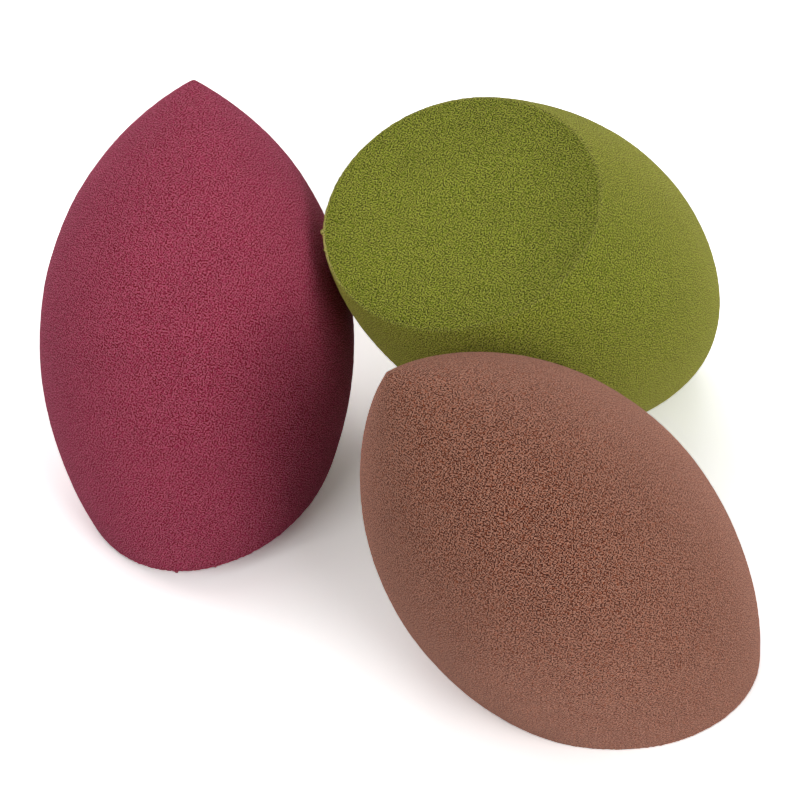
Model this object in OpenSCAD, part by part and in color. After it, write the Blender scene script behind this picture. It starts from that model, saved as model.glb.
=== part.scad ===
// Foam makeup sponges: pointed blanks of one turned shape, each with one slanted flat cut.
// The burgundy and brown sponges stand with their tips up, and the olive one leans on both
// with its cut face up. +Z is up, and the origin is on the table under the middle of the set.

/* [Blank] */
// Width of a sponge across its widest circle, in millimetres
sponge_w = 40; // [32:0.5:50]
// Height of the sharp tip above the widest circle, before it is rounded
tip_h = 33.5; // [28:0.5:40]
// Depth of the other end below the widest circle, before the cut takes it off
end_h = 37.5; // [32:0.5:45]
// Radius that rounds the tip
tip_r = 0.8; // [0.4:0.1:3]

/* [Standing cut] */
// Slant of the flat cut on the burgundy and brown sponges, in degrees
stand_cut_tilt = 37.5; // [25:0.5:42]
// Distance of that cut from the middle of the widest circle
stand_cut_d = 15.8; // [14:0.1:20]

/* [Leaning cut] */
// Slant of the flat cut on the olive sponge, in degrees
lean_cut_tilt = 28; // [18:0.5:38]
// Distance of that cut from the middle of the widest circle
lean_cut_d = 16.8; // [14:0.1:20]

/* [Burgundy sponge] */
// Compass direction of its tip, in degrees from +X
burgundy_turn = 75.5; // [60:0.5:100]
// Lean of the whole sponge away from the olive one, in degrees
burgundy_lean = 7.5; // [0:0.5:12]

/* [Olive sponge] */
// Compass direction of its tip, in degrees from +X
olive_turn = 20; // [0:1:40]
// Angle of its tip from straight up, in degrees
olive_tip_tilt = 135.5; // [125:0.5:145]
// Turn of the cut about the sponge's own axis, in degrees
olive_roll = 204; // [190:1:220]

/* [Brown sponge] */
// Compass direction of its tip, in degrees from +X
brown_turn = 162.5; // [150:0.5:180]

/* [Layout] */
// Space left between sponges that touch
touch_gap = 0.2; // [0.1:0.05:0.5]
// Distance of the olive sponge's middle behind the burgundy one's
olive_set_back = 2.6; // [-4:0.1:8]
// Distance of the olive sponge's middle to the left of the brown one's
olive_set_left = 0.6; // [-4:0.1:6]

/* [Hidden] */
$fn = 120;

// Each side of the blank is an arc that runs straight up and down at the widest circle
half_w = sponge_w / 2;
function arc_radius(h) = (half_w * half_w + h * h) / (2 * half_w);
tip_arc = arc_radius(tip_h);
end_arc = arc_radius(end_h);

// The tip's rounding is a ball that touches the upper arc from inside
ball_z = sqrt(pow(tip_arc - tip_r, 2) - pow(tip_arc - half_w, 2));
ball_rise = ball_z / (tip_arc - tip_r);
join_z = tip_arc * ball_rise;

// Steps of the searches below, in degrees, and how far they look to each side
rim_step = 3;
look_step = 2;
look_side = 20;
look_rise = 40;

// Turns about the vertical and tilts about +Y, as matrices
function turn(a) = [[cos(a), -sin(a), 0], [sin(a), cos(a), 0], [0, 0, 1]];
function tilt(a) = [[cos(a), 0, sin(a)], [0, 1, 0], [-sin(a), 0, cos(a)]];

// Outward normal of the cut on a sponge that still points straight up
function cut_normal(cut_tilt) = [sin(cut_tilt), 0, -cos(cut_tilt)];

// Point of an arc's surface, and of the whole blank, that faces the unit vector v
function arc_point(v, arc) = let (
        across = norm([v.x, v.y]),
        out = max(half_w - arc + arc * across, 0) / max(across, 1 - ball_rise)
    ) [out * v.x, out * v.y, arc * v.z];
function blank_point(v) = v.z > ball_rise ? [0, 0, ball_z] + tip_r * v
    : arc_point(v, v.z > 0 ? tip_arc : end_arc);

// Angle below the widest circle at which the cut crosses an arc, and the cut's rim as points
function rim_angle(k, c, cut_d, arc) =
    atan2(c, k) - acos((cut_d + (arc - half_w) * k) / (arc * norm([k, c])));
function rim_point(around, cut_tilt, cut_d) = let (
        k = cos(around) * sin(cut_tilt),
        c = cos(cut_tilt),
        low = rim_angle(k, c, cut_d, end_arc),
        arc = low > 0 ? end_arc : tip_arc,
        a = low > 0 ? low : rim_angle(k, c, cut_d, tip_arc),
        out = half_w - arc + arc * cos(a)
    ) [out * cos(around), out * sin(around), -arc * sin(a)];
function rim(cut_tilt, cut_d) =
    [for (around = [0:rim_step:360 - rim_step]) rim_point(around, cut_tilt, cut_d)];

// A sponge is [how it is turned, slant of its cut, distance of its cut, rim of its cut]
function sponge(turned, cut_tilt, cut_d) = [turned, cut_tilt, cut_d, rim(cut_tilt, cut_d)];
burgundy = sponge(tilt(-burgundy_lean) * turn(burgundy_turn) * tilt(stand_cut_tilt),
    stand_cut_tilt, stand_cut_d);
olive = sponge(turn(olive_turn) * tilt(olive_tip_tilt) * turn(olive_roll),
    lean_cut_tilt, lean_cut_d);
brown = sponge(turn(brown_turn) * tilt(stand_cut_tilt), stand_cut_tilt, stand_cut_d);

// How far a sponge reaches from the middle of its widest circle in the direction u
function reach(s, u) = let (v = u * s[0], p = blank_point(v))
    p * cut_normal(s[1]) < s[2] ? p * v : max([for (q = s[3]) q * v]);

// Direction near a compass heading, some degrees to its side and some above the table
function look(heading, side = 0, rise = 0) =
    [cos(rise) * cos(heading + side), cos(rise) * sin(heading + side), sin(rise)];

// Distance along a heading at which sponge b clears sponge a by the gap, after it is moved by d
function seat(a, b, heading, d) = min([
    for (side = [-look_side:look_step:look_side], rise = [-look_rise:look_step:look_rise])
        let (u = look(heading, side, rise))
        (reach(a, u) + reach(b, -u) + touch_gap - d * u) / (look(heading) * u)
]);

// Heights at which the sponges rest on the table
function rest_h(s) = reach(s, [0, 0, -1]);
burgundy_h = rest_h(burgundy);
olive_h = rest_h(olive);
brown_h = rest_h(brown);

// Places before the set is centred: the olive sponge meets the burgundy one along +X,
// and the brown one meets the olive one along -Y
to_olive = [0, olive_set_back, olive_h - burgundy_h];
olive_raw = [0, 0, burgundy_h] + to_olive + look(0) * seat(burgundy, olive, 0, to_olive);
to_brown = [olive_set_left, 0, brown_h - olive_h];
brown_raw = olive_raw + to_brown + look(-90) * seat(olive, brown, -90, to_brown);
burgundy_raw = [0, 0, burgundy_h];

// Middle of the set's box along one axis
function middle(u) = (
    max(burgundy_raw * u + reach(burgundy, u), olive_raw * u + reach(olive, u), brown_raw * u + reach(brown, u))
    - max(reach(burgundy, -u) - burgundy_raw * u, reach(olive, -u) - olive_raw * u, reach(brown, -u) - brown_raw * u)
) / 2;
centre = [middle([1, 0, 0]), middle([0, 1, 0]), 0];

// Half of the blank's outline: the two arcs and the rounded tip
module blank_outline() {
    intersection() {
        translate([half_w - tip_arc, 0]) circle(tip_arc);
        square([half_w, join_z]);
    }
    intersection() {
        translate([half_w - end_arc, 0]) circle(end_arc);
        translate([0, -end_h]) square([half_w, end_h]);
    }
    intersection() {
        translate([0, ball_z]) circle(tip_r);
        translate([0, join_z]) square([half_w, tip_h]);
    }
}

// A sponge that points straight up, its middle at the origin
module cut_blank(cut_tilt, cut_d) {
    block = 2 * (end_h + half_w);
    difference() {
        rotate_extrude() blank_outline();
        rotate([0, -cut_tilt, 0])
            translate([-block / 2, -block / 2, -cut_d - block]) cube(block);
    }
}

// A sponge turned and put in its place in the set
module placed(s, at) {
    m = s[0];
    multmatrix([for (i = [0:2]) [m[i][0], m[i][1], m[i][2], at[i] - centre[i]]])
        cut_blank(s[1], s[2]);
}

module burgundy_sponge() {
    color("#8e3750") placed(burgundy, burgundy_raw);
}

module olive_sponge() {
    color("#787c2c") placed(olive, olive_raw);
}

module brown_sponge() {
    color("#885e4d") placed(brown, brown_raw);
}

burgundy_sponge();
olive_sponge();
brown_sponge();
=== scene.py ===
"""Three cut makeup sponges on a white table.

The burgundy one stands on its slanted cut and leans, the olive one lies low with its cut face up,
and the brown one stands flat on its cut. Lengths are in metres and angles in degrees. The frame
gives the place of each sponge, and the drop shape that all three share is worked out from the few
driving sizes below.
"""

import math

import bpy
import numpy as np
from mathutils import Matrix, Vector, noise


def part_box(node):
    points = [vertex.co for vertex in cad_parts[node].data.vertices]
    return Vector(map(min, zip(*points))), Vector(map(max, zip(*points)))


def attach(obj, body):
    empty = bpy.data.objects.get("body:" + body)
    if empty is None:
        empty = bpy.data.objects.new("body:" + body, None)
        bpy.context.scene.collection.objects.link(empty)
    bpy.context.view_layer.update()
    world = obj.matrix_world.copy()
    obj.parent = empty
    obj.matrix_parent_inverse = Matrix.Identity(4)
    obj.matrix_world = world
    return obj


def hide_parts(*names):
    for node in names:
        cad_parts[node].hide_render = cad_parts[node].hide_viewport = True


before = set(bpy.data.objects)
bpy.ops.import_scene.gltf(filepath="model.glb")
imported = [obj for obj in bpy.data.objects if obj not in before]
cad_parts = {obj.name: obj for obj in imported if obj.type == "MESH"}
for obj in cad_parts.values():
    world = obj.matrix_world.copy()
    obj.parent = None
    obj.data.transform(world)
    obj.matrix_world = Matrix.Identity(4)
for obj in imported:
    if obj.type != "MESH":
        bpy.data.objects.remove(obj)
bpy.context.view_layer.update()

MM = 0.001

# The uncut drop of foam, about its own upright axis and widest at height 0
HALF_WIDTH = 20 * MM
TIP_HEIGHT = 33.5 * MM
END_DEPTH = 37.5 * MM
TIP_RADIUS = 0.5 * MM

# The mesh: points round the drop, rows up to the tip and rings across the cut, finer beside the rim
ROUND_POINTS = 360
RIM_POINTS = 3 * ROUND_POINTS
BODY_ROWS = 150
CUT_RINGS = 55
EDGE_ROWS = 6
EDGE_STEP = 0.1 * MM
# The row that lies on the rim, counted from the middle of the cut
RIM_ROW = CUT_RINGS + EDGE_ROWS + 1

# The searches for the rim and for the rounded skin halve their spans this many times. The rounded
# skin is looked for between these shares of a sharp-edged point's distance from the middle.
RIM_HALVINGS = 40
EDGE_HALVINGS = 34
EDGE_SHARES = (0.9, 1.001)

# How the foam gives at its cut edge, and how uneven its skin is
EDGE_ROUNDING = 0.35 * MM
SWELL_SIZE = 9 * MM
SWELL_RISE = 0.08 * MM
GRAIN_SIZE = 0.7 * MM
GRAIN_RISE = 0.035 * MM
RAG_SIZE = 0.22 * MM
RAG_RISE = 0.13 * MM
RAG_REACH = 0.4 * MM
WORN_SHARE = 0.12

# Painted shade on the cut: its colour is paler in its middle than at its rim, and paler on one side
CUT_MIDDLE_PAINTED_LIGHT = 0.065
CUT_RIM_PAINTED_SHADE = -0.16
CUT_SIDE_PAINTED_SHADE = -0.085

# The two arcs of the outline and the small ball that rounds its tip. A length along the outline
# is 0 at the widest circle, JOIN_ROW where the ball starts, TIP_ROW at the tip and END_ROW at the
# lower end.
TIP_ARC = (HALF_WIDTH**2 + TIP_HEIGHT**2) / (2 * HALF_WIDTH)
END_ARC = (HALF_WIDTH**2 + END_DEPTH**2) / (2 * HALF_WIDTH)
BALL_HEIGHT = math.sqrt((TIP_ARC - TIP_RADIUS) ** 2 - (TIP_ARC - HALF_WIDTH) ** 2)
JOIN_ANGLE = math.atan2(BALL_HEIGHT, TIP_ARC - HALF_WIDTH)
JOIN_ROW = TIP_ARC * JOIN_ANGLE
TIP_ROW = JOIN_ROW + TIP_RADIUS * (math.pi / 2 - JOIN_ANGLE)
END_ROW = -END_ARC * math.acos((END_ARC - HALF_WIDTH) / END_ARC)

# Each sponge: its cut, the turns that set it as it rests (the last one first), its dye, its sheen
# and its torn edge. Colours are 0 to 255 as the eye sees them, and "contrast" is how far apart the
# cells' colours lie. "frayed" is the azimuth round the rim where it is torn most, and how far that
# reaches. Each of the "crumbs" is an azimuth round the rim and a size in mm.
SPONGES = {
    "burgundy": {
        "node": "burgundy_sponge",
        "body": "burgundy",
        "cut_tilt": 37.5,
        "cut_depth": 15.8 * MM,
        "stance": (("Y", -7.5), ("Z", 75.5), ("Y", 37.5)),
        "dark": (115, 10, 18),
        "colour": (177, 51, 88),
        "light": (202, 98, 122),
        "contrast": 2.4,
        "sheen": (0.01, 0.01, 0.03),
        "worn_colour": (170, 90, 100),
        "frayed": (180, 25),
        "crumbs": ((182, 0.22), (209, 0.16), (123, 0.1), (248, 0.1)),
        "seed": 3,
    },
    "olive": {
        "node": "olive_sponge",
        "body": "olive",
        "cut_tilt": 28,
        "cut_depth": 16.8 * MM,
        "stance": (("Z", 20), ("Y", 135.5), ("Z", 204)),
        "dark": (8, 12, 0),
        "colour": (96, 117, 0),
        "light": (172, 178, 66),
        "contrast": 2,
        "sheen": (0.57, 0.5, 0.12),
        "worn_colour": (215, 200, 125),
        "frayed": (175, 22),
        "crumbs": ((186, 0.34), (174, 0.18), (200, 0.1), (150, 0.12), (30, 0.1)),
        "seed": 11,
    },
    "brown": {
        "node": "brown_sponge",
        "body": "brown",
        "cut_tilt": 37.5,
        "cut_depth": 15.8 * MM,
        "stance": (("Z", 162.5), ("Y", 37.5)),
        "dark": (56, 10, 0),
        "colour": (147, 66, 26),
        "light": (183, 130, 108),
        "contrast": 4,
        "sheen": (0.75, 0.38, 0.29),
        "worn_colour": (160, 115, 100),
        "frayed": (100, 20),
        "crumbs": ((95, 0.1), (118, 0.12), (40, 0.1)),
        "seed": 23,
    },
}


def stance_matrix(turns):
    """The rotation that sets a sponge as it rests, from turns about fixed axes, last one first."""
    matrix = Matrix.Identity(3)
    for axis, angle in turns:
        matrix = matrix @ Matrix.Rotation(math.radians(angle), 3, axis)
    return np.array(matrix)


def outline(length):
    """Radius and height of the drop at a length along its outline."""
    low = -length / END_ARC
    high = length / TIP_ARC
    ball = JOIN_ANGLE + (length - JOIN_ROW) / TIP_RADIUS
    below, on_ball = length < 0, length > JOIN_ROW
    radius = np.where(
        below,
        HALF_WIDTH - END_ARC * (1 - np.cos(low)),
        np.where(on_ball, TIP_RADIUS * np.cos(ball), HALF_WIDTH - TIP_ARC * (1 - np.cos(high))),
    )
    height = np.where(
        below,
        -END_ARC * np.sin(low),
        np.where(on_ball, BALL_HEIGHT + TIP_RADIUS * np.sin(ball), TIP_ARC * np.sin(high)),
    )
    return radius, height


def cut_normal(tilt):
    """The outward direction of the flat cut, in the drop's own frame."""
    return np.array((math.sin(math.radians(tilt)), 0, -math.cos(math.radians(tilt))))


def rim_length(azimuth, normal, depth):
    """Where the cut meets the outline at each azimuth, as a length along it."""
    low, high = np.full_like(azimuth, END_ROW), np.zeros_like(azimuth)
    for _ in range(RIM_HALVINGS):
        middle = (low + high) / 2
        radius, height = outline(middle)
        outside = normal[0] * radius * np.cos(azimuth) + normal[2] * height > depth
        low, high = np.where(outside, middle, low), np.where(outside, high, middle)
    return (low + high) / 2


def drop_distance(points):
    """Signed distance from the uncut drop, negative inside."""
    radius, height = np.hypot(points[:, 0], points[:, 1]), points[:, 2]
    arc = np.where(height > 0, TIP_ARC, END_ARC)
    side = np.hypot(radius + arc - HALF_WIDTH, height) - arc
    ball = np.hypot(radius, height - BALL_HEIGHT) - TIP_RADIUS
    past_join = height * (TIP_ARC - HALF_WIDTH) > BALL_HEIGHT * (radius + TIP_ARC - HALF_WIDTH)
    return np.where(past_join, ball, side)


def round_edge(points, normal, depth):
    """Moves points of the sharp-edged sponge, on lines from its middle, onto a soft-edged one."""
    low, high = (np.full(len(points), share) for share in EDGE_SHARES)
    for _ in range(EDGE_HALVINGS):
        share = (low + high) / 2
        tried = points * share[:, None]
        drop, cut = drop_distance(tried), tried @ normal - depth
        # Where the two surfaces meet, the blend takes the corner off
        blend = np.clip(EDGE_ROUNDING - np.abs(drop - cut), 0, None) ** 2 / (4 * EDGE_ROUNDING)
        inside = np.maximum(drop, cut) + blend < 0
        low, high = np.where(inside, share, low), np.where(inside, high, share)
    return points * low[:, None]


def azimuths(count):
    """Angles in radians, evenly round a full turn."""
    return np.arange(count) * 2 * math.pi / count


def outline_row(azimuth, length):
    """Points on the drop, one at each azimuth, at a length along the outline."""
    radius, height = outline(length)
    return np.stack((radius * np.cos(azimuth), radius * np.sin(azimuth), height), 1)


def sponge_rows(tilt, depth):
    """Rows of points from the middle of the cut out to its rim and up to the tip.

    With them come how far each point lies from the rim, and the painted shade on the cut there.
    """
    normal = cut_normal(tilt)
    edge = EDGE_STEP * EDGE_ROWS
    rows, gaps, painted_shades = [], [], []
    counts = (ROUND_POINTS, RIM_POINTS)
    rims = {count: rim_length(azimuths(count), normal, depth) for count in counts}
    rim_points = {count: outline_row(azimuths(count), rims[count]) for count in counts}
    # Halfway between the highest and the lowest point of the slanted rim
    centre = rim_points[ROUND_POINTS][[0, ROUND_POINTS // 2]].mean(0)

    def across_cut(count, inset):
        out = rim_points[count] - centre
        reach = np.linalg.norm(out, axis=1)
        gap = inset(reach)
        rows.append(rim_points[count] - out * (gap / reach)[:, None])
        gaps.append(gap + np.zeros(count))
        share = 1 - gap / reach
        # Painted shade: the cut is made paler in its middle and darker towards its rim and on one
        # side
        painted_side_shade = CUT_SIDE_PAINTED_SHADE * share * np.cos(azimuths(count))
        painted_shades.append(CUT_MIDDLE_PAINTED_LIGHT + CUT_RIM_PAINTED_SHADE * share**2 + painted_side_shade)

    def up_side(count, rise):
        gap = rise(rims[count])
        rows.append(outline_row(azimuths(count), rims[count] + gap))
        gaps.append(gap + np.zeros(count))
        painted_shades.append(np.zeros(count))

    first = edge + EDGE_STEP
    for ring in range(1, CUT_RINGS + 1):
        across_cut(ROUND_POINTS, lambda reach: reach - (reach - edge - EDGE_STEP) * ring / CUT_RINGS)
    for step in range(EDGE_ROWS, -1, -1):
        across_cut(RIM_POINTS, lambda reach: EDGE_STEP * step)
    for step in range(1, EDGE_ROWS + 1):
        up_side(RIM_POINTS, lambda start: EDGE_STEP * step)
    for row in range(BODY_ROWS):
        up_side(ROUND_POINTS, lambda start: first + (TIP_ROW - start - first) * row / BODY_ROWS)
    tip = np.array((0, 0, BALL_HEIGHT + TIP_RADIUS))
    rows = [centre[None]] + [round_edge(row, normal, depth) for row in rows] + [tip[None]]
    gaps = [np.array([HALF_WIDTH])] + gaps + [np.array([HALF_WIDTH])]
    painted_shades = [np.array([CUT_MIDDLE_PAINTED_LIGHT])] + painted_shades + [np.zeros(1)]
    return rows, np.concatenate(gaps), np.concatenate(painted_shades)


def band(start, count, next_start, next_count):
    """Faces between two rings of points. One ring may hold the other's count several times over."""
    if next_count < count:
        return [face[::-1] for face in band(next_start, next_count, start, count)]
    share = next_count // count
    bend = share // 2
    faces = []
    for k in range(count):
        here, there = start + k, start + (k + 1) % count
        ahead = [next_start + (k * share + j) % next_count for j in range(share + 1)]
        faces += [(here, ahead[j + 1], ahead[j]) for j in range(bend)]
        faces.append((here, there, ahead[bend + 1], ahead[bend]))
        faces += [(there, ahead[j + 1], ahead[j]) for j in range(bend + 1, share)]
    return faces


def fan(point, start, count):
    """A fan of triangles from one point to a ring."""
    return [(point, start + (k + 1) % count, start + k) for k in range(count)]


def sponge_faces(rows):
    """The faces between all rows, with a fan at the middle of the cut and one at the tip."""
    counts = [len(row) for row in rows]
    starts = [0] + list(np.cumsum(counts[:-1]))
    faces = fan(0, 1, counts[1])
    for k in range(1, len(rows) - 2):
        faces += band(starts[k], counts[k], starts[k + 1], counts[k + 1])
    faces += [face[::-1] for face in fan(starts[-1], starts[-2], counts[-2])]
    return faces


def mesh_object(name, points, faces):
    """A smooth-shaded mesh, placed in the scene."""
    mesh = bpy.data.meshes.new(name)
    mesh.from_pydata([tuple(p) for p in points], [], faces)
    mesh.validate()
    mesh.shade_smooth()
    thing = bpy.data.objects.new(name, mesh)
    bpy.context.scene.collection.objects.link(thing)
    return thing


def roughen(thing, gaps, crumbs, seed):
    """Gives the skin a slow swell and a fine grain, and the cut edge a ragged line and crumbs."""
    mesh = thing.data
    count = len(mesh.vertices)
    places, normals = np.zeros(count * 3), np.zeros(count * 3)
    mesh.vertices.foreach_get("co", places)
    mesh.vertices.foreach_get("normal", normals)
    places, normals = places.reshape(-1, 3), normals.reshape(-1, 3)
    shift = Vector((seed, 2 * seed, 3 * seed))
    rise = np.zeros(count)
    for k, place in enumerate(places):
        at = Vector(place)
        rise[k] = SWELL_RISE * noise.noise(at / SWELL_SIZE + shift)
        rise[k] += GRAIN_RISE * noise.noise(at / GRAIN_SIZE + shift)
        if gaps[k] < RAG_REACH:
            fade = 1 - gaps[k] / RAG_REACH
            rise[k] += RAG_RISE * fade * noise.noise(at / RAG_SIZE - shift)
    for place, size in crumbs:
        near = np.linalg.norm(places - place, axis=1) / size
        rise += size * np.exp(-(near**4))
    places += normals * rise[:, None]
    # Nothing goes below the table
    places[:, 2] = np.maximum(places[:, 2], 0)
    mesh.vertices.foreach_set("co", places.ravel())
    mesh.update()


def point_values(thing, name, values):
    """Gives the mesh a number at each point, for its material to read."""
    thing.data.attributes.new(name, "FLOAT", "POINT").data.foreach_set("value", values)


def linear(colour):
    """A colour of 0 to 255 values as the eye sees them (sRGB), in Blender's linear values."""
    shares = [min(max(value / 255, 0), 1) for value in colour]
    return [s / 12.92 if s <= 0.04045 else ((s + 0.055) / 1.055) ** 2.4 for s in shares] + [1]


# What dents the skin: pinholes, deepest in the middle and flat past the end of PORE_RANGE (in
# shares of their size), and the fine mottle between them, in short steps down from the skin
PORE_SIZE = 0.38 * MM
PORE_RANGE = (0.1, 0.45)
PORE_DENT = (-0.4, 0.0)
MOTTLE_SIZE = 0.14 * MM
MOTTLE_STEPS = 5
MOTTLE_STEP = 0.06 * MM
MOTTLE_RANGE = (0.433, 0.567)
DENT_DEPTH = 0.05 * MM

# What colours the skin: its open cells, each measured against the skin a short way to four sides
# of it, along and across SIDE_AXIS, and slow patches of dye
CELL_SIZE = 0.15 * MM
CELL_REACH = 0.15 * MM
CELL_LEVEL = 0.6
SIDE_AXIS = (1, 0.1, 0.2)
PATCH_SIZE = 7 * MM
PATCH_RANGE = (0.3, 0.7)
PATCH_TONE = 0.03

# The torn colour shows where the mottle is high, and grows over this range of it
TORN_RANGE = (-0.1, 0.3)

SKIN_ROUGHNESS = 1
SKIN_SPECULAR = 0.2
SHEEN_ROUGHNESS = 0.5

MATH, VECTOR_MATH = "ShaderNodeMath", "ShaderNodeVectorMath"

# What foam_material takes from a sponge's row in SPONGES
LOOK_KEYS = ("dark", "colour", "light", "contrast", "worn_colour", "sheen")


def foam_material(name, dark, colour, light, contrast, worn_colour, sheen):
    """Dyed foam: a velvety skin full of small cells and pinholes, paler where its edge is torn."""
    material = bpy.data.materials.new(name)
    material.use_nodes = True
    tree = material.node_tree
    shader = tree.nodes["Principled BSDF"]
    link = tree.links.new

    def node(kind, **settings):
        made = tree.nodes.new(kind)
        for key, value in settings.items():
            setattr(made, key, value)
        return made

    def texture(kind, size, spot):
        made = node(kind)
        link(spot, made.inputs["Vector"])
        made.inputs["Scale"].default_value = 1 / size
        return made

    def ranged(source, from_range, to_range, clamp=True):
        made = node("ShaderNodeMapRange", clamp=clamp)
        link(source, made.inputs["Value"])
        for end, value in zip(("From Min", "From Max", "To Min", "To Max"), from_range + to_range):
            made.inputs[end].default_value = value
        return made.outputs["Result"]

    def worked(kind, operation, *sources):
        made = node(kind, operation=operation)
        for source, end in zip(sources, made.inputs):
            if isinstance(source, bpy.types.NodeSocket):
                link(source, end)
            else:
                end.default_value = source
        return made.outputs[0]

    def cloud_at(spot, size, detail):
        made = texture("ShaderNodeTexNoise", size, spot)
        made.inputs["Detail"].default_value = detail
        return made.outputs["Fac"]

    def cell_at(spot):
        made = node("ShaderNodeTexWhiteNoise", noise_dimensions="3D")
        cell = worked(VECTOR_MATH, "SNAP", spot, (CELL_SIZE, CELL_SIZE, CELL_SIZE))
        link(cell, made.inputs["Vector"])
        return made.outputs["Value"]

    place = node("ShaderNodeTexCoord")
    spot, outward = place.outputs["Object"], place.outputs["Normal"]

    pores = texture("ShaderNodeTexVoronoi", PORE_SIZE, spot)
    mottle = ranged(pores.outputs["Distance"], PORE_RANGE, PORE_DENT)
    for step in range(MOTTLE_STEPS):
        depth = (step - (MOTTLE_STEPS - 1) / 2) * MOTTLE_STEP
        below = worked(VECTOR_MATH, "MULTIPLY_ADD", outward, (depth, depth, depth), spot)
        cloud = cloud_at(below, MOTTLE_SIZE, 0)
        share = ranged(cloud, MOTTLE_RANGE, (0, 1 / MOTTLE_STEPS), clamp=False)
        mottle = worked(MATH, "ADD", mottle, share)

    # Each cell's own value, less the mean of the four beside it
    sideways = worked(VECTOR_MATH, "CROSS_PRODUCT", outward, SIDE_AXIS)
    across = worked(VECTOR_MATH, "NORMALIZE", sideways)
    along = worked(VECTOR_MATH, "CROSS_PRODUCT", outward, across)
    around = 0
    for side in (across, along):
        for reach in (CELL_REACH, -CELL_REACH):
            beside = worked(VECTOR_MATH, "MULTIPLY_ADD", side, (reach, reach, reach), spot)
            around = worked(MATH, "ADD", around, cell_at(beside))
    cells = worked(MATH, "MULTIPLY_ADD", around, -1 / 4, cell_at(spot))

    ramp = node("ShaderNodeValToRGB", name="dye")
    link(worked(MATH, "MULTIPLY_ADD", cells, contrast, CELL_LEVEL), ramp.inputs["Fac"])
    stops = ramp.color_ramp.elements
    stops[0].position, stops[1].position = 0, 1
    stops[0].color, stops[1].color = linear(dark), linear(light)
    stops.new(0.5).color = linear(colour)

    patches = cloud_at(spot, PATCH_SIZE, 1)
    patch_tone = ranged(patches, PATCH_RANGE, (1 - PATCH_TONE, 1 + PATCH_TONE))
    # Painted shade on the cut, read from the mesh and added to the patches' tone
    cut_painted_shade = node("ShaderNodeAttribute", attribute_name="cut_painted_shade")
    tone = worked(MATH, "ADD", patch_tone, cut_painted_shade.outputs["Fac"])
    shade = worked(VECTOR_MATH, "MULTIPLY", ramp.outputs["Color"], tone)

    edge = node("ShaderNodeAttribute", attribute_name="worn_edge")
    torn = worked(MATH, "MULTIPLY", edge.outputs["Fac"], ranged(mottle, TORN_RANGE, (0, 1)))
    skin = node("ShaderNodeMix", data_type="RGBA", name="skin")
    link(torn, skin.inputs["Factor"])
    link(shade, skin.inputs["A"])
    skin.inputs["B"].default_value = linear(worn_colour)
    link(skin.outputs["Result"], shader.inputs["Base Color"])

    bump = node("ShaderNodeBump")
    bump.inputs["Distance"].default_value = DENT_DEPTH
    link(mottle, bump.inputs["Height"])
    link(bump.outputs["Normal"], shader.inputs["Normal"])

    weight = max(sheen)
    shader.inputs["Roughness"].default_value = SKIN_ROUGHNESS
    shader.inputs["Specular IOR Level"].default_value = SKIN_SPECULAR
    shader.inputs["Sheen Weight"].default_value = weight
    shader.inputs["Sheen Roughness"].default_value = SHEEN_ROUGHNESS
    shader.inputs["Sheen Tint"].default_value = [s / weight for s in sheen] + [1]
    return material


def rim_wear(rows, frayed):
    """How much of the torn colour each point takes: a little all round, all about one azimuth."""
    middle, spread = frayed
    points = np.concatenate(rows)
    turn = np.degrees(np.arctan2(points[:, 1], points[:, 0])) - middle
    away = np.abs((turn + 180) % 360 - 180) / spread
    return WORN_SHARE + (1 - WORN_SHARE) * np.exp(-(away**2))


def make_sponge(name, spec):
    """One sponge, set in the space that its solid holds."""
    rows, gaps, painted_shades = sponge_rows(spec["cut_tilt"], spec["cut_depth"])
    turn = stance_matrix(spec["stance"])
    points = np.concatenate(rows) @ turn.T
    low, high = (np.array(corner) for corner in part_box(spec["node"]))
    shift = (low + high) / 2 - (points.min(0) + points.max(0)) / 2
    thing = mesh_object(spec["node"] + "_foam", points + shift, sponge_faces(rows))
    rim = rows[RIM_ROW] @ turn.T + shift
    crumbs = []
    for azimuth, size in spec["crumbs"]:
        crumbs.append((rim[round(azimuth / 360 * RIM_POINTS)], size * MM))
    roughen(thing, gaps, crumbs, spec["seed"])
    # The torn colour is full over the inner half of the ragged reach and fades over the rest
    near_rim = np.clip(2 * (1 - gaps / RAG_REACH), 0, 1)
    point_values(thing, "worn_edge", rim_wear(rows, spec["frayed"]) * near_rim)
    # Painted shade on the cut, for the material to add to the tone of its colour
    point_values(thing, "cut_painted_shade", painted_shades)
    look = {key: spec[key] for key in LOOK_KEYS}
    thing.data.materials.append(foam_material(name + "_velvet", **look))
    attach(thing, spec["body"])
    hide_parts(spec["node"])


for sponge_name, sponge_spec in SPONGES.items():
    make_sponge(sponge_name, sponge_spec)

# The table and the white behind it. For the camera, the lift and the glow are added to the tone.
FLOOR_SPAN = 6.0
FLOOR_TONE = 0.65
FLOOR_LIFT = 1.26
FLOOR_GLOW = 0.07
BACKDROP_WHITE = 0.98


def seen_by_camera(tree):
    """1 for rays from the camera, also those that gloss or glass sends on, and 0 for the rest."""
    rays = tree.nodes.new("ShaderNodeLightPath")
    either = tree.nodes.new("ShaderNodeMath")
    either.operation = "MAXIMUM"
    any_of = tree.nodes.new("ShaderNodeMath")
    any_of.operation = "MAXIMUM"
    tree.links.new(rays.outputs["Is Camera Ray"], either.inputs[0])
    tree.links.new(rays.outputs["Is Glossy Ray"], either.inputs[1])
    tree.links.new(either.outputs[0], any_of.inputs[0])
    tree.links.new(rays.outputs["Is Transmission Ray"], any_of.inputs[1])
    return any_of.outputs[0]


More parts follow.
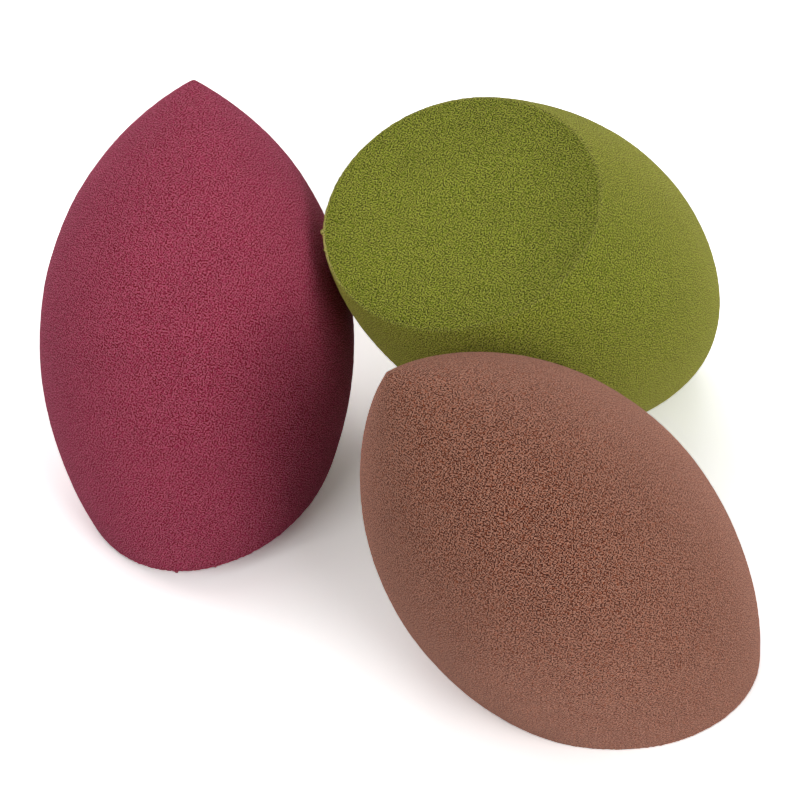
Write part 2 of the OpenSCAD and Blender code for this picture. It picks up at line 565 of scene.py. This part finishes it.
def floor_material():
    """A white table top. The camera sees it lifted to the backdrop's white, shadows kept."""
    material = bpy.data.materials.new("white_table")
    material.use_nodes = True
    tree = material.node_tree
    tree.nodes.clear()
    link = tree.links.new
    matte = tree.nodes.new("ShaderNodeBsdfDiffuse")
    matte.inputs["Color"].default_value = (FLOOR_TONE, FLOOR_TONE, FLOOR_TONE, 1)
    extra = tree.nodes.new("ShaderNodeBsdfDiffuse")
    extra.inputs["Color"].default_value = (FLOOR_LIFT, FLOOR_LIFT, FLOOR_LIFT, 1)
    glow = tree.nodes.new("ShaderNodeEmission")
    glow.inputs["Strength"].default_value = FLOOR_GLOW
    lit = tree.nodes.new("ShaderNodeAddShader")
    link(matte.outputs[0], lit.inputs[0])
    link(extra.outputs[0], lit.inputs[1])
    lifted = tree.nodes.new("ShaderNodeAddShader")
    link(lit.outputs[0], lifted.inputs[0])
    link(glow.outputs[0], lifted.inputs[1])
    chosen = tree.nodes.new("ShaderNodeMixShader")
    link(seen_by_camera(tree), chosen.inputs["Fac"])
    link(matte.outputs[0], chosen.inputs[1])
    link(lifted.outputs[0], chosen.inputs[2])
    out = tree.nodes.new("ShaderNodeOutputMaterial")
    link(chosen.outputs[0], out.inputs["Surface"])
    return material


half = FLOOR_SPAN / 2
table_corners = [(-half, -half, 0), (half, -half, 0), (half, half, 0), (-half, half, 0)]
table = mesh_object("table_top", table_corners, [(0, 1, 2, 3)])
table.data.materials.append(floor_material())

# Soft light from all round: where each lamp stands, seen from the frame's origin with azimuth 0
# toward +X, and the level that it gives a white surface that faces it
SOFT_BOXES = {
    "right_box": {"azimuth": 0, "elevation": 60, "level": 0.12},
    "back_left_box": {"azimuth": 135, "elevation": 32, "level": 0.27},
    "front_left_box": {"azimuth": 225, "elevation": 32, "level": 0.34},
    "front_right_box": {"azimuth": 315, "elevation": 32, "level": 0.375},
    "front_right_low_box": {"azimuth": 315, "elevation": 8, "level": 0.38},
    "back_high_box": {"azimuth": 90, "elevation": 60, "level": 0.255},
    "back_low_box": {"azimuth": 90, "elevation": 8, "level": 0.275},
}
BOX_DISTANCE = 1.2
BOX_SPAN = 0.8


def soft_box(name, azimuth, elevation, level):
    """A square lamp that gives a white surface facing it this level of light."""
    lamp = bpy.data.lights.new(name, "AREA")
    lamp.size = BOX_SPAN
    lamp.energy = level * (math.pi * BOX_DISTANCE) ** 2
    thing = bpy.data.objects.new(name, lamp)
    way = Vector((1, 0, 0))
    way.rotate(Matrix.Rotation(math.radians(-elevation), 3, "Y"))
    way.rotate(Matrix.Rotation(math.radians(azimuth), 3, "Z"))
    thing.location = way * BOX_DISTANCE
    thing.rotation_euler = way.to_track_quat("Z", "Y").to_euler()
    thing.visible_camera = False
    bpy.context.scene.collection.objects.link(thing)


def backdrop():
    """No light of its own, and white where the camera sees past the table."""
    world = bpy.data.worlds.new("studio")
    bpy.context.scene.world = world
    world.use_nodes = True
    tree = world.node_tree
    glow = tree.nodes["Background"]
    glow.inputs["Color"].default_value = (0, 0, 0, 1)
    white = tree.nodes.new("ShaderNodeBackground")
    white.inputs["Color"].default_value = (BACKDROP_WHITE, BACKDROP_WHITE, BACKDROP_WHITE, 1)
    chosen = tree.nodes.new("ShaderNodeMixShader")
    tree.links.new(seen_by_camera(tree), chosen.inputs["Fac"])
    tree.links.new(glow.outputs[0], chosen.inputs[1])
    tree.links.new(white.outputs[0], chosen.inputs[2])
    tree.links.new(chosen.outputs[0], tree.nodes["World Output"].inputs["Surface"])


backdrop()
for box_name, box_spec in SOFT_BOXES.items():
    soft_box(box_name, **box_spec)

# The camera: where it aims on the table, and where it stands from there
AIM = Vector((1.4, 22.57, 0)) * MM
VIEW_ELEVATION = 45.6
VIEW_DISTANCE = 526.5 * MM
VIEW_ROLL = -3.05
LENS = 180
SENSOR = 36
CLIP_START = 0.01

camera = bpy.data.cameras.new("camera")
camera.lens = LENS
camera.sensor_width = SENSOR
camera.clip_start = CLIP_START
camera_thing = bpy.data.objects.new("camera", camera)
tilt = Matrix.Rotation(math.radians(90 - VIEW_ELEVATION), 4, "X")
roll = Matrix.Rotation(math.radians(VIEW_ROLL), 4, "Z")
back_off = Matrix.Translation((0, 0, VIEW_DISTANCE))
camera_thing.matrix_world = Matrix.Translation(AIM) @ tilt @ back_off @ roll
bpy.context.scene.collection.objects.link(camera_thing)
bpy.context.scene.camera = camera_thing

bpy.context.scene.view_settings.view_transform = "Standard"
